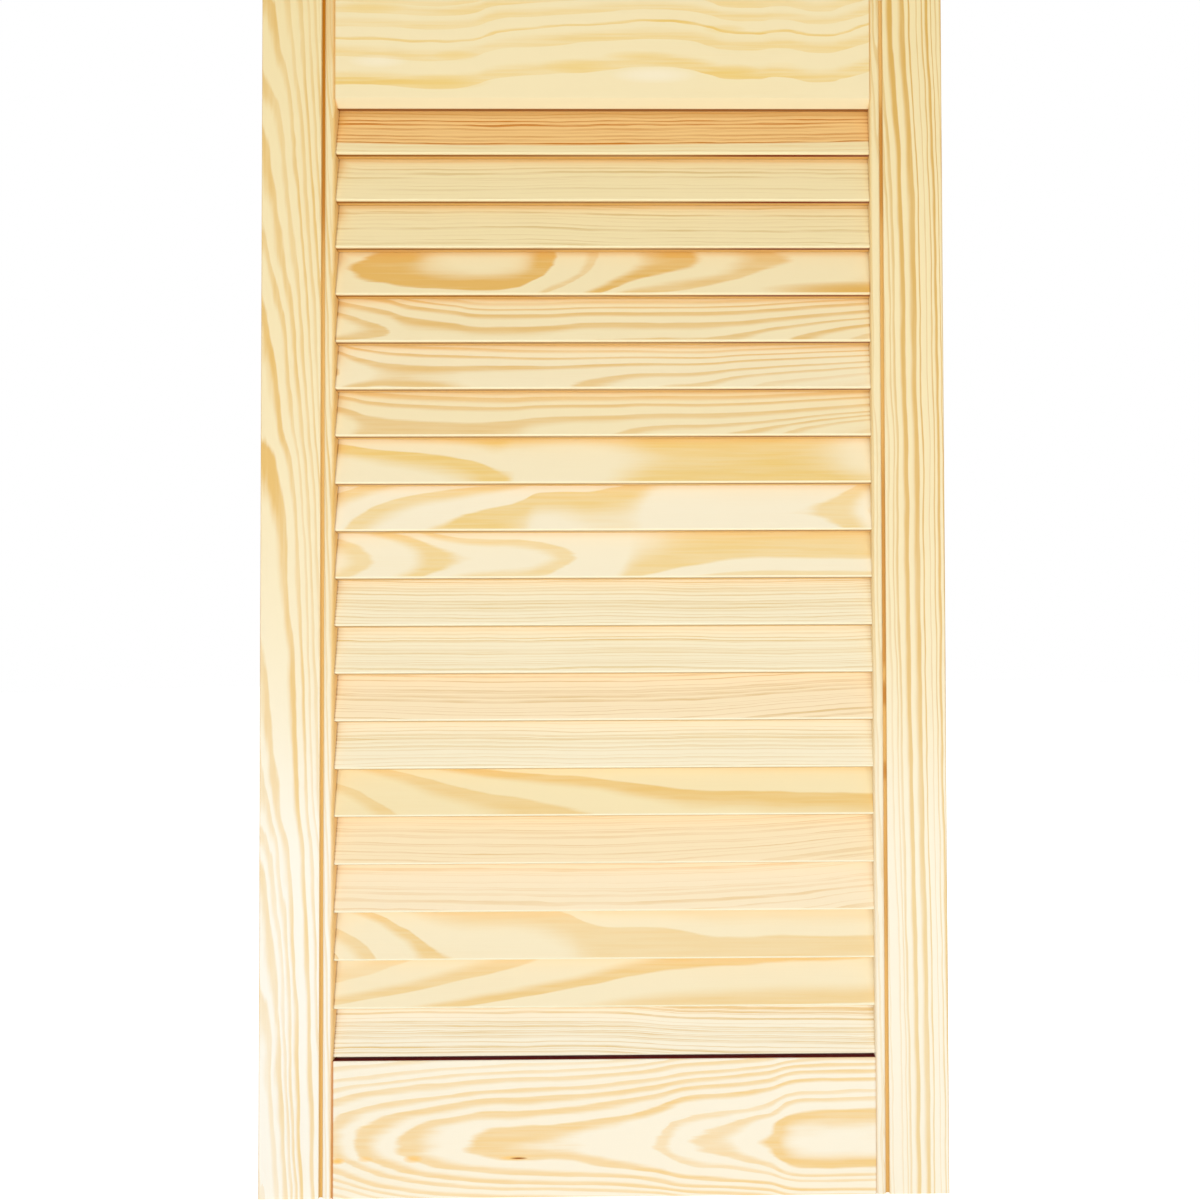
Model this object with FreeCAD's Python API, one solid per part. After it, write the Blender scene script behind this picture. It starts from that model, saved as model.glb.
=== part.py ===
import FreeCAD, Part
import math
import os

Vector = FreeCAD.Vector

# Driving dimensions in millimetres.
# The origin is on the hinge edge, at mid height and mid thickness: X runs across, the front faces -Y, Z is up.
door_width = 394.0
door_height = 690.0
door_thickness = 21.0

# Frame members
stile_width = 42.0
stile_arris = 1.0
top_rail_height = 63.0
bottom_rail_height = 77.5
rail_arris = 0.6

# Bevel on the lower front edge of the top rail
bevel_height = 4.0
bevel_depth = 5.0

# Quirk and bead worked along the inner front edge of each stile
bead_width = 5.8
bead_radius = 2.0
quirk_width = 1.8
quirk_depth = 2.2
quirk_arris = 0.4

# Slats, each with its lower edge to the front and its upper edge behind the slat above
slat_count = 20
slat_thickness = 6.0
slat_width = 35.0
slat_arris = 0.9
nose_recess = 2.0
housing_depth = 6.0

# Clearances
slat_gap = 0.6
seat_gap = 0.3
housing_play = 0.1
housing_end_play = 0.2

# Faces and levels
front = -door_thickness / 2
back = door_thickness / 2
top = door_height / 2
bottom = -door_height / 2
louvre_top = top - top_rail_height
louvre_bottom = bottom + bottom_rail_height + seat_gap
louvre_height = louvre_top - louvre_bottom

# Pitch and tilt follow from each other. Neighbours lie slat_gap apart, so sin(tilt) = slat_step / slat_pitch,
# and the louvre's height is slat_count * slat_pitch + slat_thickness * sin(tilt).
slat_step = slat_thickness + slat_gap
pitch_root = math.sqrt(louvre_height ** 2 - 4 * slat_count * slat_thickness * slat_step)
slat_pitch = (louvre_height + pitch_root) / (2 * slat_count)
slat_tilt = math.degrees(math.asin(slat_step / slat_pitch))


def outline(corners):
    """Face inside a closed run of (point, radius) corners, each radius worked as a tangent arc."""
    edges = []
    first = None
    last = None
    for index, (point, radius) in enumerate(corners):
        before = (corners[index - 1][0] - point).normalize()
        after = (corners[(index + 1) % len(corners)][0] - point).normalize()
        half_angle = before.getAngle(after) / 2
        reach = radius / math.tan(half_angle)
        start = point + before * reach
        end = point + after * reach
        if last is not None:
            edges.append(Part.LineSegment(last, start).toShape())
        if first is None:
            first = start
        if radius > 0:
            inward = (before + after).normalize()
            middle = point + inward * (radius / math.sin(half_angle) - radius)
            edges.append(Part.Arc(start, middle, end).toShape())
        last = end
    edges.append(Part.LineSegment(last, first).toShape())
    return Part.Face(Part.Wire(edges))


def slat_blank(index, play, end_reach):
    """One slat counted from the top, grown by play on its four long sides, reaching end_reach into each stile."""
    low = -play
    wide = slat_width + play
    thick = slat_thickness + play
    radius = slat_arris + play
    section = outline([
        (Vector(0, low, low), radius),
        (Vector(0, thick, low), radius),
        (Vector(0, thick, wide), radius),
        (Vector(0, low, wide), radius),
    ])
    section.rotate(Vector(0, 0, 0), Vector(1, 0, 0), -slat_tilt)
    nose_level = louvre_top - index * slat_pitch
    section.translate(Vector(stile_width - end_reach, front + nose_recess, nose_level))
    return section.extrude(Vector(door_width - 2 * (stile_width - end_reach), 0, 0))


def stile_blank():
    """Hinge side stile before its slots are cut: flat face, quirk, bead, and eased outer arrises."""
    bead_side = stile_width - bead_width
    quirk_side = bead_side - quirk_width
    quirk_floor = front + quirk_depth
    profile = outline([
        (Vector(0, front, bottom), stile_arris),
        (Vector(quirk_side, front, bottom), quirk_arris),
        (Vector(quirk_side, quirk_floor, bottom), 0),
        (Vector(bead_side, quirk_floor, bottom), 0),
        (Vector(bead_side, front, bottom), bead_radius),
        (Vector(stile_width, front, bottom), bead_radius),
        (Vector(stile_width, back, bottom), stile_arris),
        (Vector(0, back, bottom), stile_arris),
    ])
    return profile.extrude(Vector(0, 0, door_height))


def rail(section):
    """A rail of the given section, butted between the two stiles."""
    return section.extrude(Vector(door_width - 2 * stile_width, 0, 0))


def top_rail_blank():
    """Top rail before its groove is cut, bevelled back on its lower front edge."""
    return rail(outline([
        (Vector(stile_width, front, top), 0),
        (Vector(stile_width, front, louvre_top + bevel_height), rail_arris),
        (Vector(stile_width, front + bevel_depth, louvre_top), rail_arris),
        (Vector(stile_width, back, louvre_top), rail_arris),
        (Vector(stile_width, back, top), 0),
    ]))


def bottom_rail():
    """Bottom rail, plain, with the arrises of its upper edge eased."""
    upper_edge = bottom + bottom_rail_height
    return rail(outline([
        (Vector(stile_width, front, bottom), 0),
        (Vector(stile_width, front, upper_edge), rail_arris),
        (Vector(stile_width, back, upper_edge), rail_arris),
        (Vector(stile_width, back, bottom), 0),
    ]))


def mirrored(shape):
    """The same piece on the other side of the door."""
    return shape.mirror(Vector(door_width / 2, 0, 0), Vector(1, 0, 0))


# Slots for the slats, and the assembled pieces by name
housings = [slat_blank(index, housing_play, housing_depth) for index in range(1, slat_count + 1)]
left_stile = stile_blank().cut(housings)

pieces = {
    "left_stile": left_stile,
    "right_stile": mirrored(left_stile),
    "top_rail": top_rail_blank().cut(housings[0]),
    "bottom_rail": bottom_rail(),
}
for index in range(1, slat_count + 1):
    pieces[f"slat_{index:02d}"] = slat_blank(index, 0, housing_depth - housing_end_play)

os.makedirs("parts", exist_ok=True)
for name, shape in pieces.items():
    shape.exportStep(f"parts/{name}.step")
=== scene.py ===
import math
import bmesh
import bpy
from mathutils import Euler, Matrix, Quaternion, Vector


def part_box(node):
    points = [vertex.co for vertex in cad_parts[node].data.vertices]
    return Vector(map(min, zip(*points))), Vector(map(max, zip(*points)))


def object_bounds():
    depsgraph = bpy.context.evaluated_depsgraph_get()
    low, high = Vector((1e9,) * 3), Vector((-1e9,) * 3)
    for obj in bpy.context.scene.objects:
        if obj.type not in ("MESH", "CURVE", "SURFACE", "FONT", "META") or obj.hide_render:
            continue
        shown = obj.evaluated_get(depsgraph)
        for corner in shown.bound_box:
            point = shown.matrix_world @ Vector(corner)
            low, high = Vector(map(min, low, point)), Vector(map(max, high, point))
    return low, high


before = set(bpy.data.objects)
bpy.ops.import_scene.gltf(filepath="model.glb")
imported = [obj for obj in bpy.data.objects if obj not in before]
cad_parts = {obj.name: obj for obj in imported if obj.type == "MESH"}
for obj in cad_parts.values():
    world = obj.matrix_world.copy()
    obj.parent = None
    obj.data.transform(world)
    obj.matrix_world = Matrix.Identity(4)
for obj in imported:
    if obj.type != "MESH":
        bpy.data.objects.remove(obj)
cad_low, cad_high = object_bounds()
door_middle = (cad_low + cad_high) / 2

MM = 0.001
IMAGE_PIXELS = 1200
SENSOR_WIDTH = 36.0

# Camera, from the door's edges and slats in the photograph
FOCAL_PIXELS = 1181.3
CAMERA_DISTANCE = 680 * MM
CAMERA_ASIDE = 58 * MM
CAMERA_BELOW = 18.5 * MM
CAMERA_YAW = math.radians(-0.618)
CAMERA_PITCH = math.radians(1.109)
CAMERA_ROLL = math.radians(-0.217)
CAMERA_NEAR = 10 * MM
FRAMING_PIXELS = 117.2

# Light: lamps are placed from the middle of the door, in metres
SKY_STRENGTH = 0.42
KEY_PLACE = Vector((0.0, -1.6, -0.12))
KEY_SIZE = (2.4, 0.3)
KEY_POWER = 16.8
BACK_PLACE = Vector((0.5, 1.5, 1.2))
BACK_SIZE = (1.4, 1.2)
BACK_POWER = 16.0
FLOOR_RADIUS = 6.0
FLOOR_ROUGHNESS = 0.9
FLOOR_GLOW = 0.68
FLOOR_COLOUR = (0.86, 0.86, 0.85, 1.0)
BLACK = (0.0, 0.0, 0.0, 1.0)
WHITE = (1.0, 1.0, 1.0, 1.0)

# Slats: thickness, and thickness with the gap to the next one, both square to their faces
SLATS = [f"slat_{number:02d}" for number in range(1, 21)]
SLAT_THICKNESS = 6.0 * MM
SLAT_STEP = 6.6 * MM

# Strength of the painted shade and highlight on the first slat, its loss from slat to slat, and the least
# there is
FIRST_SHADE = 0.6
SHADE_LOSS = 0.045
LEAST_SHADE = 0.05


def half_size(name):
    """Half the width, depth and height of a piece of the door, in millimetres."""
    low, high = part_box(name)
    return (high - low) / (2 * MM)


# Places on the boards in millimetres, from the middle of a board's front face
STILE_END = half_size("left_stile").z
STILE_EDGE = half_size("left_stile").x
BEAD_EDGE = STILE_EDGE - 5.8
QUIRK_EDGE = BEAD_EDGE - 1.8
QUIRK_FLOOR = 2.2
RAIL_END = half_size("top_rail").x
TOP_RAIL_LOWER = -half_size("top_rail").z
TOP_RAIL_BEVEL = 5.0
BOTTOM_RAIL_UPPER = half_size("bottom_rail").z
SLAT_NOSE = -17.5
SLAT_LAP = 9.5


def srgb(red, green, blue):
    """A colour written in 0 to 255 as the eye sees it."""
    return tuple(((c / 255 + 0.055) / 1.055) ** 2.4 for c in (red, green, blue)) + (1.0,)


# Pine tones: soft early wood and hard late wood, from straw to cream. Where boards turn to cream toward the
# foot of the door, that is painted brighter light.
STRAW_EARLY = srgb(246, 225, 168)
STRAW_HONEY = srgb(228, 176, 82)
STRAW_BROWN = srgb(206, 170, 94)
CREAM_EARLY = srgb(255, 249, 233)
CREAM_HONEY = srgb(248, 215, 150)
CREAM_BROWN = srgb(222, 198, 142)
GOLD_LATE = srgb(242, 206, 116)
ROSE_EARLY = srgb(253, 230, 190)
ROSE_LATE = srgb(232, 198, 142)
AMBER_EARLY = srgb(246, 202, 132)
AMBER_LATE = srgb(202, 119, 24)
RESIN = srgb(156, 82, 20)

# Tones of painted light and shade at edges, corners and grooves; CORNER is also a fleck colour
WARM_SHADE = srgb(226, 172, 88)
CORNER = srgb(255, 206, 116)
QUIRK_SHADE = srgb(235, 195, 120)
QUIRK_WALL_LIGHT = srgb(255, 228, 152)
DEEP_QUIRK_SHADE = srgb(190, 120, 12)
CREASE_SHADE = srgb(150, 86, 4)
MAROON_SHADE = srgb(128, 40, 10)
GAP_SHADE = srgb(118, 6, 2)
NOSE_HIGHLIGHT = srgb(255, 252, 226)
WARM_NOSE_HIGHLIGHT = srgb(255, 239, 192)
LIT_UNDERSIDE = srgb(250, 214, 148)


class Socket:
    """A socket in one material's node tree. Arithmetic on sockets adds Math nodes."""

    def __init__(self, tree, socket=None):
        self.tree = tree
        self.socket = socket

    def node(self, kind, settings=None, sockets=None, output=0):
        """Adds a node: its settings first, then the values or links of its sockets."""
        made = self.tree.nodes.new(kind)
        for name, value in (settings or {}).items():
            if name == "points":
                set_points(made.mapping, value)
            else:
                setattr(made, name, value)
        for name, value in (sockets or {}).items():
            if isinstance(value, Socket):
                self.tree.links.new(value.socket, made.inputs[name])
            else:
                made.inputs[name].default_value = value
        return Socket(self.tree, made.outputs[output] if made.outputs else None)

    def out(self, name):
        """Another output of the node that this socket belongs to."""
        return Socket(self.tree, self.socket.node.outputs[name])

    def math(self, operation, first, second=0.0):
        return self.node("ShaderNodeMath", {"operation": operation}, {0: first, 1: second})

    def __add__(self, other):
        return self.math("ADD", self, other)

    def __radd__(self, other):
        return self.math("ADD", other, self)

    def __sub__(self, other):
        return self.math("SUBTRACT", self, other)

    def __rsub__(self, other):
        return self.math("SUBTRACT", other, self)

    def __mul__(self, other):
        return self.math("MULTIPLY", self, other)

    def __rmul__(self, other):
        return self.math("MULTIPLY", other, self)

    def __truediv__(self, other):
        return self.math("DIVIDE", self, other)

    def __rtruediv__(self, other):
        return self.math("DIVIDE", other, self)

    def root(self):
        return self.math("SQRT", self)

    def floor(self):
        return self.math("FLOOR", self)

    def clamped(self):
        return self.node("ShaderNodeClamp", None, {"Value": self})

    def largest(self, other):
        return self.math("MAXIMUM", self, other)

    def ramped(self, start, end):
        """Goes smoothly from 0 to 1 as this socket goes from start to end."""
        settings = {"interpolation_type": "SMOOTHSTEP"}
        return self.node("ShaderNodeMapRange", settings, {"Value": self, "From Min": start, "From Max": end})

    def between(self, start, end, soft):
        """1 from start to end, going smoothly to 0 over the width soft on either side."""
        return self.ramped(start - soft, start) * self.ramped(end + soft, end)

    def line(self, value, reach):
        """A plain number, or the smooth line through (place, value) points, read at this socket.

        reach is the farthest place on either side of the middle.
        """
        if isinstance(value, (int, float)):
            return value
        low = min(number for place, number in value)
        span = max(number for place, number in value) - low
        points = [(place / reach / 2 + 0.5, (number - low) / span) for place, number in value]
        curve = self.node("ShaderNodeFloatCurve", {"points": points}, {"Value": self / (2 * reach) + 0.5})
        return curve * span + low

    def mixed(self, first, second):
        """Colour that goes from first to second as this socket goes from 0 to 1."""
        settings = {"data_type": "RGBA", "clamp_factor": True}
        return self.node("ShaderNodeMix", settings, {0: self, 6: first, 7: second}, 2)


def set_points(mapping, points):
    """Draws a smooth curve through the points."""
    curve = mapping.curves[0]
    while len(curve.points) < len(points):
        curve.points.new(0.5, 0.5)
    for point, place in zip(curve.points, points):
        point.location = place
        point.handle_type = "AUTO_CLAMPED"
    mapping.extend = "HORIZONTAL"
    mapping.update()


class Board:
    """How one piece was sawn from its log. Lengths are in millimetres along, across and into the board.

    pith_into and pith_across place the log's middle line behind the front face: a number, or (along, value)
    points that a smooth line goes through. Rings lie around it: ring is their usual width and late the share
    of late wood in it. rings are ones that stand out, each with its radius, the width of its late wood and
    its strength. squeeze under 1 widens the rings on the upper side.

    sway and wave are how far the rings wander, over long and short stretches. contrast is the strength of
    the late wood; fade varies it from streak to streak, and patchy from patch to patch.

    pale goes from straw to cream, and painted_light_pale_end is its value at the foot, where it paints
    brighter light. brown, gold and rose turn the tone.
    Above the line amber_above the board is amber heartwood. flecks are marks, each with its place along and
    across, its half length, half width, strength and tone.
    """

    def __init__(self, seed, pith_into, pith_across, **others):
        self.seed = seed
        self.pith_into = pith_into
        self.pith_across = pith_across
        self.ring = 3.0
        self.late = 0.55
        self.rings = ()
        self.squeeze = 1.0
        self.sway = 0.8
        self.wave = 0.9
        self.contrast = 0.8
        self.fade = 0.12
        self.patchy = 0.0
        self.pale = 0.5
        self.painted_light_pale_end = None
        self.brown = 0.0
        self.gold = 0.0
        self.rose = 0.0
        self.amber_above = None
        self.flecks = ()
        for name, value in others.items():
            setattr(self, name, value)

    def tone(self, straw, cream, rose):
        """The board's own tone between straw, cream and rose."""
        return blend(blend(straw, cream, self.pale), rose, self.rose)


def blend(first, second, share):
    """Plain mix of two colours."""
    return tuple(a + (b - a) * share for a, b in zip(first, second))


def grain_noise(board, place, length, width, offset, detail=2.0):
    """Noise drawn out along the grain: length and width of its waves in millimetres."""
    shift = board.seed * 17.3 + offset
    stretched = place.node(
        "ShaderNodeMapping",
        {"vector_type": "POINT"},
        {
            "Vector": place,
            "Location": (shift, shift * 0.37, shift * 0.71),
            "Scale": (1 / length, 1 / width, 1 / width),
        },
    )
    return place.node("ShaderNodeTexNoise", None, {"Vector": stretched, "Scale": 1.0, "Detail": detail})


def usual_rings(board, radius):
    """Late wood of the usual rings: it comes slowly in each ring and ends abruptly on its outer side."""
    growth = radius / board.ring
    uneven = radius.node("ShaderNodeTexNoise", {"noise_dimensions": "1D"}, {"W": growth * 0.45 + board.seed})
    growth = growth + 1.4 * uneven
    count = growth.floor()
    share = growth - count
    band = share.ramped(1.0 - board.late, 1.0 - 0.15 * board.late) * share.ramped(1.0, 0.94)
    ring_seed = {"W": count + board.seed * 3.7}
    strength = radius.node("ShaderNodeTexWhiteNoise", {"noise_dimensions": "1D"}, ring_seed)
    return band * (strength * 0.45 + 0.55)


def late_wood(board, radius):
    """Share of late wood: the usual rings, with the ones that stand out in place of those between them."""
    band = usual_rings(board, radius)
    if not board.rings:
        return band
    inner = min(ring - late for ring, late, strength in board.rings)
    outer = max(ring for ring, late, strength in board.rings)
    band = band * (1.0 - radius.between(inner, outer, 1.5))
    for ring, late, strength in board.rings:
        rise = radius.ramped(ring - late, ring - 0.35 * late)
        edge = min(0.25, 0.12 * late)
        band = band.largest(rise * radius.ramped(ring + edge, ring - edge) * strength)
    return band


def wood_tones(board, along, reach):
    """Colours of the board's early and late wood."""
    honey = board.tone(STRAW_HONEY, CREAM_HONEY, ROSE_LATE)
    brown = board.tone(STRAW_BROWN, CREAM_BROWN, ROSE_LATE)
    early = board.tone(STRAW_EARLY, CREAM_EARLY, ROSE_EARLY)
    late = blend(blend(honey, brown, board.brown), GOLD_LATE, board.gold)
    if board.painted_light_pale_end is None:
        return early, late
    # Painted light: early and late wood turn paler toward the foot, as if lit more brightly there
    lower = along.line(((-reach, 0.0), (0.0, 0.34), (0.7 * reach, 1.0), (reach, 1.0)), reach)
    early_end = blend(STRAW_EARLY, CREAM_EARLY, board.painted_light_pale_end)
    late_end = blend(blend(CREAM_HONEY, CREAM_BROWN, board.brown), CREAM_EARLY, 0.1)
    return lower.mixed(early, early_end), lower.mixed(late, late_end)


def pine(name, board, corner, turn, reach, finish):
    """Planed pine with the growth rings of its own board, the same on every side and on its ends.

    corner is the middle of the board's front face and reach half its length. finish adds painted light and
    shade where the piece's own shape would show them, such as a shaded groove, and darker joint lines.
    """
    material = bpy.data.materials.new(name)
    material.use_nodes = True
    tree = material.node_tree
    tree.nodes.clear()
    start = Socket(tree)

    # Board coordinates in millimetres
    texture = start.node("ShaderNodeTexCoord", None, None, "Object")
    place = start.node(
        "ShaderNodeMapping",
        {"vector_type": "TEXTURE"},
        {"Vector": texture, "Location": corner, "Rotation": turn, "Scale": (MM, MM, MM)},
    )
    split = start.node("ShaderNodeSeparateXYZ", None, {"Vector": place})
    along = split.out("X")
    into = split.out("Y")
    across = split.out("Z")

    # Distance from the pith, with the log's own unevenness
    side = across - along.line(board.pith_across, reach)
    side = side - (1.0 - board.squeeze) * side.largest(0.0)
    depth = into - along.line(board.pith_into, reach)
    sway = grain_noise(board, place, 75.0, 14.0, 0.0)
    wave = grain_noise(board, place, 36.0, 7.0, 17.0)
    feather = grain_noise(board, place, 16.0, 0.9, 5.0)
    radius = (side * side + depth * depth).root()
    radius = radius + board.sway * (2 * sway - 1) + board.wave * (wave - 0.5) + 0.18 * (feather - 0.5)

    # Late wood, fibres and slow changes of strength
    fibre = grain_noise(board, place, 30.0, 0.45, 9.0, 3.0)
    patch = grain_noise(board, place, 120.0, 20.0, 13.0, 1.0)
    streak = grain_noise(board, place, 50.0, 2.0, 21.0)
    strong = 2 * board.fade * streak.ramped(0.3, 0.7) + (1 - board.fade)
    strong = strong * (2 * board.patchy * patch.ramped(0.35, 0.65) + (1 - board.patchy))
    band = board.contrast * late_wood(board, radius) * strong
    band = band + 0.14 * (fibre - 0.5) + 0.22 * (patch - 0.5)

    # Colour of the wood, of amber heartwood and of flecks
    early, late = wood_tones(board, along, reach)
    if board.amber_above is None:
        colour = band.mixed(early, late)
    else:
        heart = ((across - along.line(board.amber_above, reach) + 2.0 * (sway - 0.5)) * 1.2).clamped()
        sapwood = (0.4 * band).mixed(early, late)
        colour = heart.mixed(sapwood, band.mixed(AMBER_EARLY, AMBER_LATE))
    for fleck_along, fleck_across, half_length, half_width, strength, tone in board.flecks:
        far = (along - fleck_along) / half_length
        off = (across - fleck_across + 0.6 * (feather - 0.5)) / half_width
        spot = (1.0 - far * far - off * off).clamped() * strength
        colour = spot.mixed(colour, tone)
    colour = finish(colour, band, along, across, into)

    relief = start.node(
        "ShaderNodeBump",
        None,
        {"Strength": 0.2, "Distance": 0.12 * MM, "Height": band + 0.5 * fibre},
    )
    surface = start.node(
        "ShaderNodeBsdfPrincipled",
        None,
        {
            "Base Color": colour,
            "Roughness": 0.62 - 0.12 * band,
            "Specular IOR Level": 0.2,
            "Normal": relief,
        },
    )
    start.node("ShaderNodeOutputMaterial", None, {"Surface": surface})
    return material


def slat_finish(shade):
    """Painted highlight on the nose over a painted shade line, painted warm shade under the slat above and
    in the left corners, a brighter painted underside, and ends at the stiles darkened as joint lines and
    painted shade.

    shade is how strong all this is; the dark line is maroon only where it is strong.
    """
    deep = 0.55 + 0.75 * shade
    maroon = max(0.0, min(1.0, 6 * shade - 1.8))
    warm = shade / FIRST_SHADE

    def finish(colour, band, along, across, into):
        front = into.ramped(4.0, 2.0)
        nose = across.ramped(SLAT_NOSE + 1.1, SLAT_NOSE + 0.6) * into.ramped(1.6, 1.2)
        below = across.ramped(SLAT_NOSE + 0.5, SLAT_NOSE + 0.1)
        under = below * into.between(1.6, 3.1, 0.4)
        glow = across.ramped(SLAT_LAP - 5.5, SLAT_LAP) * front
        corner = along.ramped(9.0 - RAIL_END, -RAIL_END) * across.ramped(-8.0, 8.0) * front
        left_end = along.ramped(0.9 - RAIL_END, 0.2 - RAIL_END)
        right_end = along.ramped(RAIL_END - 0.8, RAIL_END - 0.2)
        ends = left_end + shade * right_end
        crease = (maroon * along.ramped(20.0, 110.0)).mixed(CREASE_SHADE, MAROON_SHADE)
        strength = deep * along.line(UNDER_LINE, RAIL_END)
        # Painted highlight on the nose, warmer on the upper slats
        colour = (0.85 * nose).mixed(colour, blend(NOSE_HIGHLIGHT, WARM_NOSE_HIGHLIGHT, warm))
        # Painted warm shade under the slat above and in the left corners
        colour = (shade * (glow * glow).largest(corner)).mixed(colour, WARM_SHADE)
        # Painted underside: brighter than its shade allows, with painted warm shade on the upper slats
        colour = (0.9 * below * into.ramped(3.1, 3.5)).mixed(colour, blend(LIT_UNDERSIDE, WARM_SHADE, warm))
        # Painted dark shade line under the nose, maroon where strongest, and ends darkened as joint lines
        # and painted shade
        dark = (strength * under).largest(ends * (0.4 + 0.4 * band))
        return dark.mixed(colour, crease)

    return finish


def stile_finish(inward, quirk_shade, inside_light, bead_shade=None):
    """Painted shade in the quirk, darker in places, with painted light on its wall, painted shade on the
    bead's roll into it, on the outer arris and on the left bead near the top, and painted warm light on the
    bead's inner side;
    inward is 1 or -1 towards the slats.

    worn is how dark the painted shade in the quirk is along the stile, warmth how strong the painted warm
    light on the bead's inner side is, and tan how strong the painted shade on the left bead is, where there
    is any.
    """
    def finish(colour, band, along, across, into):
        toward = across * inward
        front = into.ramped(4.0, 3.0)
        wall = toward.between(QUIRK_EDGE - 0.1, QUIRK_EDGE + 0.2, 0.4) * into.ramped(0.1, 0.5)
        wall = wall * into.ramped(QUIRK_FLOOR - 0.05, QUIRK_FLOOR - 0.2)
        floor = toward.between(QUIRK_EDGE - 0.1, BEAD_EDGE + 0.1, 0.3) * front
        floor = floor * into.ramped(QUIRK_FLOOR - 0.2, QUIRK_FLOOR - 0.05)
        roll = toward.ramped(BEAD_EDGE - 0.2, BEAD_EDGE) * toward.ramped(BEAD_EDGE + 0.6, BEAD_EDGE)
        roll = roll * into.ramped(0.1, 0.5) * front
        inside = toward.ramped(STILE_EDGE - 1.7, STILE_EDGE - 0.5) * into.ramped(19.0, 17.0)
        outside = toward.ramped(1.0 - STILE_EDGE, 0.3 - STILE_EDGE) * into.ramped(1.4, 0.6)
        deep_shade = along.line(quirk_shade, STILE_END)
        if bead_shade is not None:
            bead = toward.ramped(BEAD_EDGE + 0.2, BEAD_EDGE + 1.0)
            # Painted shade on the left bead, strongest at the top
            colour = (along.line(bead_shade, STILE_END) * bead).mixed(colour, WARM_SHADE)
        # Painted light on the quirk's wall
        colour = (0.8 * wall).mixed(colour, QUIRK_WALL_LIGHT)
        # Painted shade on the bead's roll into the quirk
        colour = ((0.75 + 0.25 * deep_shade) * roll).mixed(colour, QUIRK_SHADE)
        # Painted shade on the quirk's floor, darker in places
        colour = floor.mixed(colour, deep_shade.mixed(QUIRK_SHADE, DEEP_QUIRK_SHADE))
        # Painted shade on the outer arris
        colour = (0.4 * outside).mixed(colour, WARM_SHADE)
        # Painted warm light on the bead's inner side
        return (along.line(inside_light, STILE_END) * inside).mixed(colour, CORNER)

    return finish


def top_rail_finish(colour, band, along, across, into):
    """Darker lines at the joints with the stiles, partly painted shade and stronger on the left, a painted
    highlight on the bevel, and painted shade on the rail's underside over the first slat.
    """
    left_joint = along.ramped(1.0 - RAIL_END, 0.2 - RAIL_END)
    right_joint = along.ramped(RAIL_END - 0.8, RAIL_END - 0.1)
    bevel = across.ramped(TOP_RAIL_LOWER + 4.3, TOP_RAIL_LOWER + 3.6)
    bevel = bevel * into.ramped(TOP_RAIL_BEVEL + 0.3, TOP_RAIL_BEVEL - 0.1)
    under = across.ramped(TOP_RAIL_LOWER + 0.5, TOP_RAIL_LOWER + 0.1)
    under = under * into.ramped(TOP_RAIL_BEVEL - 0.1, TOP_RAIL_BEVEL + 0.5) * into.ramped(10.0, 8.0)
    # Darker joint lines, partly painted shade
    colour = (0.7 * left_joint + 0.3 * right_joint).mixed(colour, WARM_SHADE)
    # Painted highlight on the bevel
    colour = (0.15 * bevel).mixed(colour, NOSE_HIGHLIGHT)
    # Painted shade on the rail's underside over the first slat
    return (0.9 * under).mixed(colour, CREASE_SHADE)


def bottom_rail_finish(colour, band, along, across, into):
    """Darker lines at the joints with the stiles, partly painted shade and stronger on the left, and painted
    dark shade on top of the rail in the gap under the last slat.
    """
    left_joint = along.ramped(1.1 - RAIL_END, 0.3 - RAIL_END)
    right_joint = along.ramped(RAIL_END - 0.8, RAIL_END - 0.1)
    gap = across.ramped(BOTTOM_RAIL_UPPER - 0.45, BOTTOM_RAIL_UPPER - 0.05)
    gap = gap * into.ramped(0.3, 1.2) * into.ramped(8.0, 6.5)
    # Darker joint lines, partly painted shade
    colour = (0.9 * left_joint + 0.2 * right_joint).mixed(colour, AMBER_LATE)
    # Painted dark shade in the gap under the last slat
    return gap.mixed(colour, GAP_SHADE)


def dress(name, board, turn, thickness, finish):
    """Gives a piece of the door its own board's pine."""
    low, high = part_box(name)
    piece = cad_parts[name]
    front = Euler(turn).to_matrix() @ Vector((0.0, -thickness / 2, 0.0))
    half = half_size(name)
    reach = max(half.x, half.z)
    material = pine(f"{name}_pine", board, (low + high) / 2 + front, turn, reach, finish)
    piece.data.materials.clear()
    piece.data.materials.append(material)


def slat_tilt():
    """Lean of the slats from upright, from their pitch and their step."""
    first, second = (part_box(name)[0].z for name in SLATS[:2])
    return math.asin(SLAT_STEP / (first - second))


# Boards of the frame, along the grain: down the stiles and to the right along the rails
LEFT_STILE = Board(
    1,
    (
        (-345, 63), (-309, 61.9), (-267, 60), (-207, 58.1), (-167, 56.1), (-92, 53.4), (-75, 52.2),
        (-63, 51.6), (-40, 50.7), (-7, 49.8), (20, 49.1), (38, 48.6), (85, 47.6), (115, 47), (155, 44.7),
        (345, 40),
    ),
    -24.0,
    ring=1.8, late=0.65, sway=0.6, wave=1.5, contrast=0.88, patchy=0.2, pale=0.05, painted_light_pale_end=1.1,
    brown=0.15, gold=0.2,
    rings=(
        (43.0, 1.4, 0.6), (44.7, 1.3, 0.8), (46.0, 1.0, 0.6), (47.4, 1.2, 0.7), (49.2, 1.5, 0.9),
        (53.5, 2.0, 1.0), (56.2, 1.4, 0.8), (58.2, 1.0, 0.6), (60.1, 1.3, 0.7), (62.0, 1.2, 0.6),
        (63.9, 1.0, 0.7), (65.8, 1.2, 0.5), (67.7, 1.2, 0.7), (69.6, 1.0, 0.5), (71.5, 1.2, 0.6),
    ),
)
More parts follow.
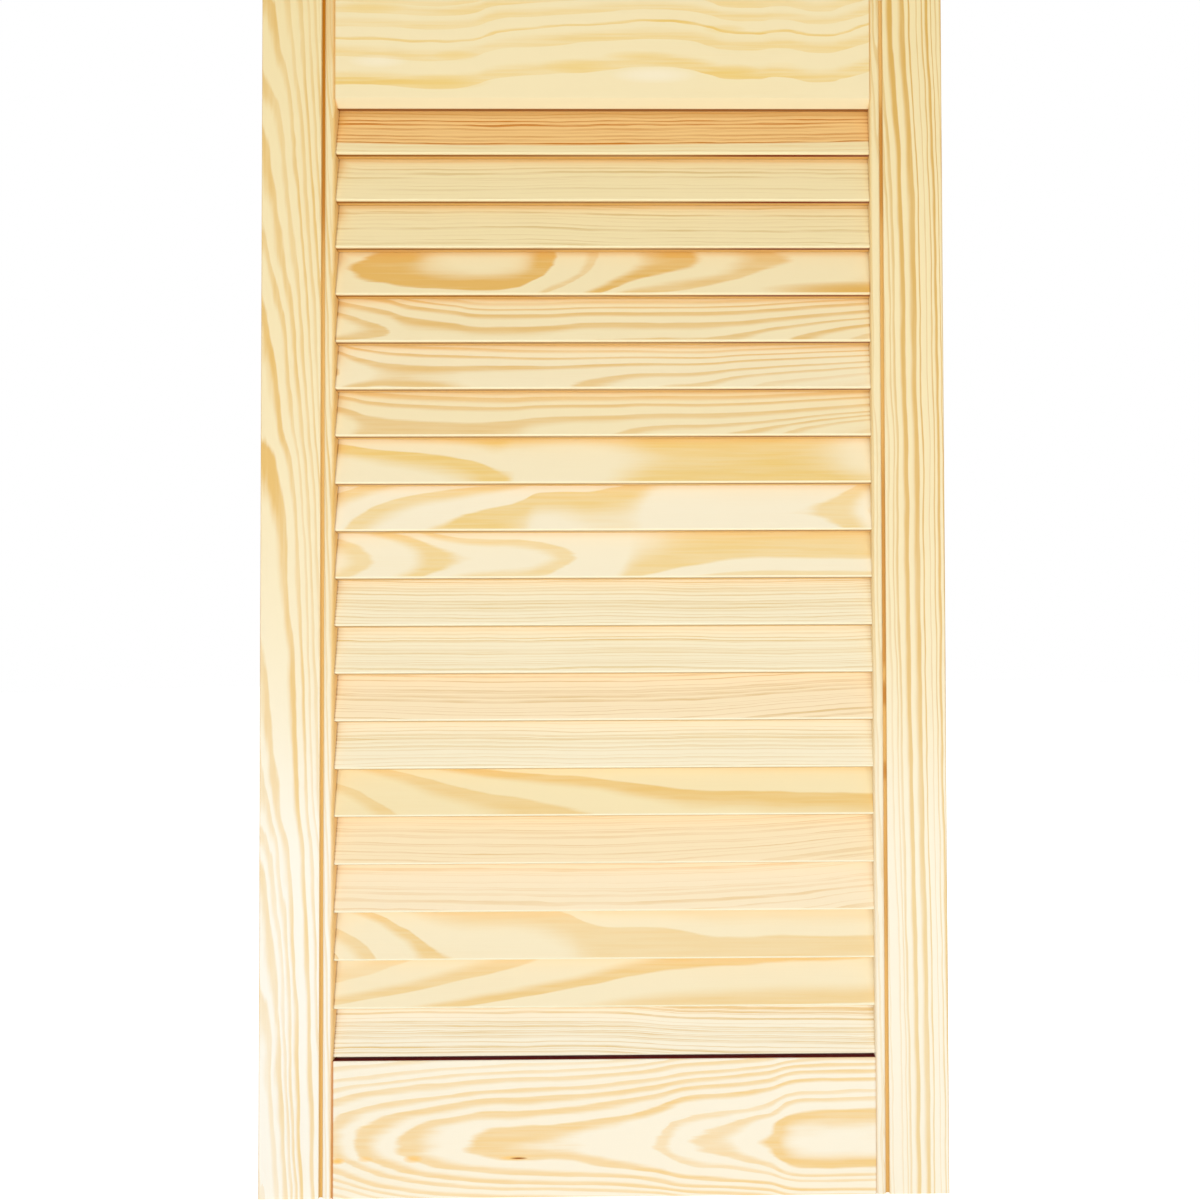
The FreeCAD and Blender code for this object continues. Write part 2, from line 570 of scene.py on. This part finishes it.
RIGHT_STILE = Board(
    2,
    (
        (-345, 61.8), (-319, 61.3), (-287, 60), (-253, 58.8), (-172, 57.2), (-115, 57), (-86, 56.1),
        (0, 56), (57, 55.5), (115, 54.8), (232, 53), (345, 52),
    ),
    -45.0,
    ring=1.6, late=0.55, sway=0.5, wave=1.4, contrast=1.1, pale=0.05, painted_light_pale_end=0.85, brown=0.35,
    rings=(
        (62.4, 0.6, 0.35), (65.6, 0.8, 0.35), (67.2, 0.7, 0.5), (68.6, 1.2, 0.6), (72.0, 2.3, 1.0),
        (76.1, 2.9, 0.85), (77.9, 0.8, 0.9), (80.5, 0.6, 0.45), (82.6, 0.8, 0.7), (84.7, 1.5, 1.0),
        (86.2, 0.5, 0.9), (88.2, 0.8, 0.5), (90.0, 0.9, 0.5),
    ),
)
TOP_RAIL = Board(
    3,
    30.0,
    (
        (-155, 200.5), (-123, 199.5), (-97, 198), (-80, 199), (-65, 203.3), (-55, 205.3), (-38, 206.3),
        (-13, 207.8), (13, 209.8), (30, 211), (46, 210), (63, 206.8), (77, 204), (89, 203.9),
        (102, 205.2), (114, 203.8), (128, 202.2), (138, 203.7), (148, 206.8), (155, 209),
    ),
    sway=1.2, wave=3.0, contrast=0.7, fade=0.3, patchy=0.2, pale=0.2, gold=0.9,
    rings=(
        (174.5, 4.0, 0.5), (180.5, 6.5, 0.6), (188.5, 6.5, 0.5), (195.8, 2.0, 1.0), (205.5, 8.0, 0.55),
        (222.3, 9.5, 0.85), (245.0, 3.0, 0.1),
    ),
    flecks=(
        (-94.0, -18.0, 30.0, 5.0, 0.6, GOLD_LATE), (-15.0, -8.5, 22.0, 4.5, 0.45, GOLD_LATE),
        (76.0, -11.5, 16.0, 4.5, 0.5, GOLD_LATE), (71.0, 13.0, 13.0, 3.0, 0.4, GOLD_LATE),
        (-85.0, -2.5, 14.0, 3.5, 0.4, GOLD_LATE), (21.0, -2.5, 22.0, 3.0, 0.4, GOLD_LATE),
        (-134.0, 25.5, 22.0, 4.0, 0.4, GOLD_LATE), (30.0, -14.0, 26.0, 5.0, 0.35, CREAM_EARLY),
        (-130.0, -6.0, 18.0, 4.0, 0.3, CREAM_EARLY),
    ),
)
BOTTOM_RAIL = Board(
    4,
    (
        (-155, 56.5), (-122, 54), (-80, 52), (0, 50.6), (28, 49.5), (46.5, 48.1), (75, 47.2), (93, 46.3),
        (112, 44.3), (155, 44.1),
    ),
    ((-155, -6), (-80, -10), (155, -9)),
    squeeze=0.75, sway=0.45, wave=0.8, contrast=0.9, pale=0.85,
    rings=(
        (37.5, 2.0, 0.4), (46.3, 2.2, 1.0), (48.1, 1.0, 0.7), (49.5, 0.9, 0.6), (52.0, 1.15, 0.9),
        (53.8, 1.2, 0.8), (55.5, 1.3, 0.8), (57.0, 1.1, 0.7), (59.1, 1.4, 0.7), (60.6, 1.0, 0.6),
        (62.2, 1.0, 0.5), (64.5, 1.3, 0.5), (67.5, 1.3, 0.4),
    ),
    flecks=(
        (-52.0, -16.5, 9.0, 1.3, 0.8, CORNER), (-49.0, -16.7, 5.5, 0.7, 1.0, RESIN),
        (-152.0, -17.5, 5.0, 2.2, 1.0, CORNER), (-109.0, -16.7, 6.0, 2.4, 0.8, CORNER),
        (-136.0, -16.5, 5.0, 2.0, 0.6, CORNER),
    ),
)

# Darkness of the painted shade line under each slat's nose along the slat, and of the painted shade in the
# quirks down the stiles
UNDER_LINE = ((-155, 0.95), (-60, 0.9), (20, 0.8), (100, 1.0), (155, 0.9))
LEFT_QUIRK = ((-345, 1.0), (-230, 0.85), (-190, 0.3), (-110, 0.1), (345, 0.1))
RIGHT_QUIRK = (
    (-345, 0.1), (-290, 0.15), (-270, 0.7), (-235, 0.7), (-200, 0.2), (-110, 0.15), (-45, 0.6), (40, 0.6),
    (48, 0.15), (57, 0.75), (63, 0.75), (70, 0.15), (97, 0.15), (102, 0.7), (108, 0.6), (114, 0.2),
    (175, 0.35), (230, 0.1), (345, 0.2),
)

# Strength of the painted warm light on the beads' inner sides down the stiles, and of the painted shade on
# the left bead
LEFT_INSIDE_LIGHT = ((-345, 0.45), (-100, 0.6), (345, 0.8))
RIGHT_INSIDE_LIGHT = ((-345, 0.3), (0, 0.2), (345, 0.1))
LEFT_BEAD_SHADE = ((-345, 0.48), (-322, 0.42), (-298, 0.12), (-270, 0.04), (-100, 0.03), (345, 0.0))

# Boards of the slats, along the grain to the right, from the top slat down. They are on the whole paler
# downward: partly their own tones, partly painted brighter light toward the foot.
SLAT_BOARDS = [
    Board(
        11, 30.0, ((-155, -150), (-60, -151), (40, -150.5), (155, -149)),
        ring=2.5, late=0.6, sway=0.6, wave=2.6, contrast=1.1, fade=0.4, pale=0.12,
        amber_above=((-155, -10.8), (-45, -12.6), (20, -12.2), (155, -9.6)),
    ),
    Board(
        12, 30.0, ((-155, -150), (-90, -151), (0, -150), (155, -151)),
        ring=2.6, late=0.5, sway=0.7, wave=2.4, contrast=0.42, fade=0.6, pale=0.1, brown=0.8,
    ),
    Board(
        13, 30.0, ((-155, -150), (-70, -149.4), (20, -151.5), (155, -152)),
        ring=2.5, late=0.45, sway=0.7, wave=2.6, contrast=0.5, fade=0.65, pale=0.1, brown=0.8,
    ),
    Board(
        14,
        (
            (-155, 55.3), (-137, 54.2), (-121, 53.4), (-90, 50.7), (-70, 50.2), (-29, 54.8), (-5, 59),
            (22, 62.5), (58, 64.3), (106, 67.4), (155, 69.3),
        ),
        ((-155, -3), (-121, 1), (-70, 7), (155, 7)),
        sway=0.5, contrast=1.0, pale=0.2,
        rings=((54.8, 4.5, 1.0), (59.1, 1.5, 0.45), (64.3, 2.2, 0.95), (67.4, 2.2, 0.65), (75.5, 5.5, 0.9)),
        flecks=((150.0, -14.5, 60.0, 5.5, 0.8, STRAW_HONEY),),
    ),
    Board(
        15,
        (
            (-155, 38.7), (-142, 39.2), (-125, 39.8), (-109, 40.6), (-64, 40.4), (-39, 40.3), (0, 39.6),
            (48, 39.6), (73, 39.3), (97, 38.4), (122, 37.2), (155, 35.6),
        ),
        ((-155, -8), (-125, -11.5), (-88, -17), (-60, -20), (155, -20)),
        sway=0.15, wave=0.4, contrast=0.82, pale=0.25, brown=0.1,
        rings=(
            (36.4, 0.9, 0.5), (38.0, 0.9, 0.9), (39.8, 0.8, 0.8), (42.0, 1.5, 0.9), (44.8, 1.6, 0.9),
            (46.5, 0.9, 0.8), (48.5, 1.5, 0.5), (50.3, 1.2, 0.6),
        ),
    ),
    Board(
        16,
        (
            (-155, 39.8), (-141, 40.9), (-120, 41.4), (-97, 41.3), (-72, 41), (-47, 40.7), (-23, 40.1),
            (0, 39.4), (24, 38.6), (56, 38), (81, 36.9), (106, 36.2), (155, 34.8),
        ),
        ((-155, -7), (-120, -9.5), (-72, -12.5), (0, -17), (81, -20), (155, -20)),
        sway=0.12, wave=0.35, contrast=0.8, pale=0.35, brown=0.1,
        rings=(
            (36.9, 0.7, 0.4), (38.4, 0.7, 0.7), (39.9, 0.8, 0.8), (42.0, 0.9, 0.9), (43.8, 0.8, 0.9),
            (45.8, 1.2, 0.7), (47.6, 1.2, 0.6),
        ),
    ),
    Board(
        17,
        (
            (-155, 40), (-146, 40.6), (-134, 41.4), (-117, 41.6), (-88, 41.5), (-57, 41.2), (-39, 40.5),
            (-14, 40), (0, 39.9), (24, 39.3), (73, 38.7), (97, 38.1), (122, 37.1), (155, 35.8),
        ),
        ((-155, -12), (-117, -14), (-57, -17), (24, -19), (73, -20), (155, -20)),
        sway=0.12, wave=0.35, contrast=0.7, pale=0.25, brown=0.1,
        rings=(
            (38.0, 0.6, 0.7), (38.9, 0.6, 0.9), (39.9, 0.7, 0.8), (42.0, 1.5, 0.9), (44.7, 1.3, 0.9),
            (47.2, 2.0, 0.9), (49.0, 1.2, 0.6),
        ),
    ),
    Board(
        18,
        ((-155, 52.5), (-115, 55), (-80, 56.8), (-52, 60), (0, 62), (50, 64.3), (100, 64.3), (155, 61.5)),
        ((-155, -22), (-80, -22), (-50, -14), (0, -6), (30, -3), (155, 2)),
        sway=0.6, contrast=0.92, pale=0.38, gold=0.8,
        rings=((60.0, 4.0, 0.9), (67.0, 5.0, 0.9), (51.0, 3.0, 0.4)),
    ),
    Board(
        19,
        (
            (-155, 66.5), (-106, 60.2), (-82, 58.8), (-47, 55.5), (-35, 53.5), (6, 55.6), (35, 52),
            (60, 50.8), (126, 50), (155, 46),
        ),
        ((-155, -22), (-47, -22), (6, -14), (60, -7), (155, -6)),
        sway=0.5, contrast=0.75, pale=0.6, gold=0.8,
        rings=((50.0, 3.5, 0.8), (60.0, 6.0, 1.0), (66.0, 3.5, 0.8), (72.0, 4.0, 0.8)),
    ),
    Board(
        20,
        (
            (-155, 55.5), (-115, 58.2), (-87, 60), (-40, 60.6), (-17, 61.6), (5, 63), (18, 65.2),
            (30, 66), (42, 67), (59, 67.8), (76, 68.4), (101, 68.6), (155, 68.4),
        ),
        ((-155, -7), (-17, -6), (18, 6), (30, 8), (155, 8)),
        sway=0.25, wave=0.5, contrast=0.75, pale=0.55, gold=0.8,
        rings=((57.0, 1.5, 0.7), (60.0, 1.6, 0.9), (61.6, 1.0, 0.75), (70.0, 5.5, 0.9)),
    ),
    Board(
        21, 30.0, ((-155, -149.6), (-60, -151), (0, -150.3), (60, -151.2), (155, -150)),
        ring=1.9, late=0.5, sway=0.5, wave=1.6, contrast=0.88, fade=0.2, pale=0.5, brown=0.8, gold=0.3,
    ),
    Board(
        22, 30.0, ((-155, -150), (-70, -150.8), (20, -150), (90, -150.9), (155, -150)),
        ring=2.2, late=0.45, sway=0.5, wave=1.7, contrast=0.9, fade=0.2, pale=0.5, brown=0.8, gold=0.3,
    ),
    Board(
        23, ((-155, 34), (-35, 36), (155, 27)), -40.0,
        ring=2.2, late=0.5, sway=0.5, wave=1.4, contrast=1.0, fade=0.4, pale=0.4, brown=0.7, rose=0.8,
    ),
    Board(
        24, 30.0, ((-155, -150), (-80, -149.3), (-10, -150.4), (70, -149.6), (155, -150.3)),
        ring=2.2, late=0.45, sway=0.5, wave=1.7, contrast=0.85, fade=0.2, pale=0.55, brown=0.85, gold=0.3,
    ),
    Board(
        25,
        (
            (-155, 43.5), (-117, 50.5), (-93, 54), (-49, 57.5), (-7, 59.6), (29, 61.6), (106, 62.9),
            (155, 63.2),
        ),
        -25.0,
        sway=0.7, contrast=0.75, pale=0.2, gold=0.35,
        rings=((44.0, 1.5, 0.3), (51.0, 3.0, 0.6), (60.0, 4.0, 0.7), (66.1, 3.4, 1.0), (75.0, 5.5, 0.55)),
    ),
    Board(
        26, ((-155, 37), (-27, 39), (60, 37), (155, 29)), -40.0,
        ring=2.8, late=0.55, sway=0.6, wave=1.4, contrast=0.7, fade=0.4, pale=0.3, rose=0.7,
    ),
    Board(
        27, ((-155, 37), (0, 39), (80, 37), (155, 30)), -40.0,
        ring=2.6, late=0.5, sway=0.6, wave=1.4, contrast=0.62, fade=0.4, pale=0.65, rose=0.6,
    ),
    Board(
        28,
        (
            (-155, 44), (-130, 50.5), (-115, 54.7), (-87, 59.3), (-50, 60), (-22, 62.9), (-11, 65.2),
            (5, 66.5), (26, 66.5), (47, 67.5), (64, 68.3), (93, 68), (155, 68.3),
        ),
        -25.0,
        sway=0.6, contrast=0.75, pale=0.45, gold=0.35,
        rings=((51.0, 4.0, 0.7), (60.0, 3.5, 0.9), (71.0, 8.0, 0.7), (77.0, 5.0, 0.3)),
    ),
    Board(
        29,
        ((-155, 47.5), (-126, 51), (-75, 56.8), (-18, 62), (29, 65.7), (106, 67.6), (155, 68)),
        25.0,
        sway=0.6, contrast=0.75, pale=0.42, gold=0.35,
        rings=((62.4, 4.0, 0.75), (70.0, 3.5, 1.0), (79.6, 6.0, 0.75), (55.0, 4.0, 0.5)),
    ),
    Board(
        30, 30.0, ((-155, -150), (-30, -150), (60, -153.5), (155, -155)),
        ring=2.6, late=0.6, wave=1.8, contrast=0.95, fade=0.3, pale=0.75, brown=0.6,
    ),
]


def louvre_and_frame():
    """Dresses every piece: the stiles' grain runs down, the rails' and slats' grain across."""
    down = (0.0, math.radians(90), 0.0)
    level = (0.0, 0.0, 0.0)
    lean = (-slat_tilt(), 0.0, 0.0)
    thickness = cad_high.y - cad_low.y
    left_finish = stile_finish(1.0, LEFT_QUIRK, LEFT_INSIDE_LIGHT, LEFT_BEAD_SHADE)
    right_finish = stile_finish(-1.0, RIGHT_QUIRK, RIGHT_INSIDE_LIGHT)
    dress("left_stile", LEFT_STILE, down, thickness, left_finish)
    dress("right_stile", RIGHT_STILE, down, thickness, right_finish)
    dress("top_rail", TOP_RAIL, level, thickness, top_rail_finish)
    dress("bottom_rail", BOTTOM_RAIL, level, thickness, bottom_rail_finish)
    for number, (name, board) in enumerate(zip(SLATS, SLAT_BOARDS)):
        shade = max(LEAST_SHADE, FIRST_SHADE - SHADE_LOSS * number)
        dress(name, board, lean, SLAT_THICKNESS, slat_finish(shade))


def seen(tree):
    """1 for what the camera sees, in reflections and through glass too, and 0 for light on the door."""
    ray = Socket(tree).node("ShaderNodeLightPath", None, None, "Is Camera Ray")
    return (ray + ray.out("Is Glossy Ray") + ray.out("Is Transmission Ray")).clamped()


def plain_floor():
    """Pale floor under the door. A glow that only the camera sees brings it to white beside the shadow."""
    mesh = bmesh.new()
    bmesh.ops.create_circle(mesh, cap_ends=True, segments=96, radius=FLOOR_RADIUS)
    bmesh.ops.translate(mesh, verts=mesh.verts, vec=(door_middle.x, door_middle.y, cad_low.z))
    data = bpy.data.meshes.new("floor")
    mesh.to_mesh(data)
    mesh.free()
    floor = bpy.data.objects.new("floor", data)
    bpy.context.scene.collection.objects.link(floor)

    material = bpy.data.materials.new("floor_paint")
    material.use_nodes = True
    material.node_tree.nodes.clear()
    to_camera = seen(material.node_tree)
    paint = to_camera.node(
        "ShaderNodeBsdfPrincipled",
        None,
        {
            "Base Color": FLOOR_COLOUR,
            "Roughness": FLOOR_ROUGHNESS,
            "Emission Color": to_camera.mixed(BLACK, WHITE),
            "Emission Strength": FLOOR_GLOW,
        },
    )
    to_camera.node("ShaderNodeOutputMaterial", None, {"Surface": paint})
    data.materials.append(material)


def white_surroundings():
    """White to the eye and in reflections, and an even soft light on the door."""
    world = bpy.data.worlds.new("surroundings")
    bpy.context.scene.world = world
    world.use_nodes = True
    world.node_tree.nodes.clear()
    to_camera = seen(world.node_tree)
    strength = to_camera * (1.0 - SKY_STRENGTH) + SKY_STRENGTH
    light = to_camera.node("ShaderNodeBackground", None, {"Color": WHITE, "Strength": strength})
    to_camera.node("ShaderNodeOutputWorld", None, {"Surface": light})


def soft_lamp(name, offset, size, power):
    """A studio lamp of the given width and height, off the middle of the door and facing it."""
    lamp = bpy.data.lights.new(name, "AREA")
    lamp.shape = "RECTANGLE"
    lamp.size, lamp.size_y = size
    lamp.energy = power
    holder = bpy.data.objects.new(name, lamp)
    holder.location = door_middle + offset
    holder.rotation_euler = (-offset).to_track_quat("-Z", "Y").to_euler()
    bpy.context.scene.collection.objects.link(holder)


def camera():
    """Camera at the photograph's place, nearly square on, with the framing moved aside as there."""
    data = bpy.data.cameras.new("camera")
    data.sensor_width = SENSOR_WIDTH
    data.lens = FOCAL_PIXELS / IMAGE_PIXELS * SENSOR_WIDTH
    data.shift_x = -FRAMING_PIXELS / IMAGE_PIXELS
    data.clip_start = CAMERA_NEAR
    holder = bpy.data.objects.new("camera", data)
    holder.location = door_middle + Vector((CAMERA_ASIDE, cad_low.y - CAMERA_DISTANCE, -CAMERA_BELOW))
    upright = Euler((math.radians(90) + CAMERA_PITCH, 0.0, CAMERA_YAW)).to_quaternion()
    holder.rotation_mode = "QUATERNION"
    holder.rotation_quaternion = upright @ Quaternion((0.0, 0.0, 1.0), CAMERA_ROLL)
    bpy.context.scene.collection.objects.link(holder)
    bpy.context.scene.camera = holder


camera()
louvre_and_frame()
plain_floor()
white_surroundings()
soft_lamp("key_lamp", KEY_PLACE, KEY_SIZE, KEY_POWER)
soft_lamp("back_lamp", BACK_PLACE, BACK_SIZE, BACK_POWER)
bpy.context.scene.view_settings.view_transform = "Standard"
